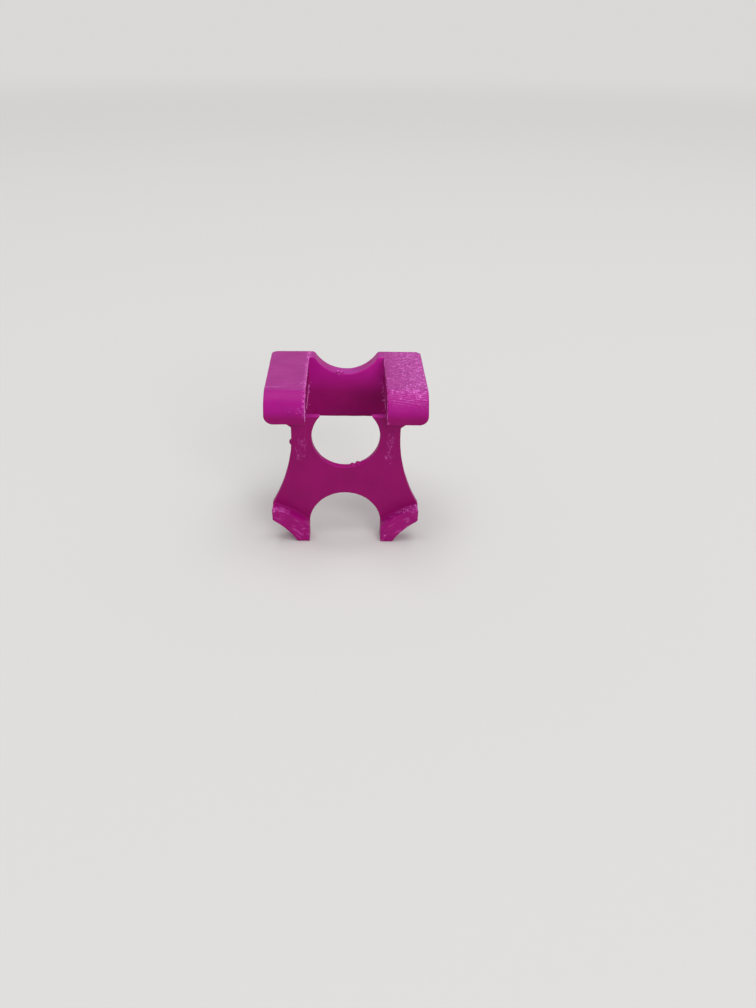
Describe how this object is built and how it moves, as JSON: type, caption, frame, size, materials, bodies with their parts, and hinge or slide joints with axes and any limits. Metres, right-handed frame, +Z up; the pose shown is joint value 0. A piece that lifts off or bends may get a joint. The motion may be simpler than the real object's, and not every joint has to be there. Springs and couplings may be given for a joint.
{
  "type": "razor holder",
  "caption": "Printed plastic hanger that grips two parallel shelf wires and holds a razor by its head in a notched cradle below a round hole.",
  "frame": {"origin": "centre of the front shelf wire, in the middle of the holder", "axes": "+X across the holder along the wires, to the right seen from the front; +Y towards the wall behind the holder; +Z up"},
  "size_m": [0.044, 0.0331, 0.047],
  "materials": {
    "magenta_plastic": "glossy printed filament with fine layer lines"
  },
  "bodies": {
    "root": {"left_hook_block": "magenta_plastic", "right_hook_block": "magenta_plastic", "back_wall": "magenta_plastic", "left_leg": "magenta_plastic", "right_leg": "magenta_plastic", "head_plate": "magenta_plastic", "left_cradle_arm": "magenta_plastic", "right_cradle_arm": "magenta_plastic"}
  },
  "joints": []
}
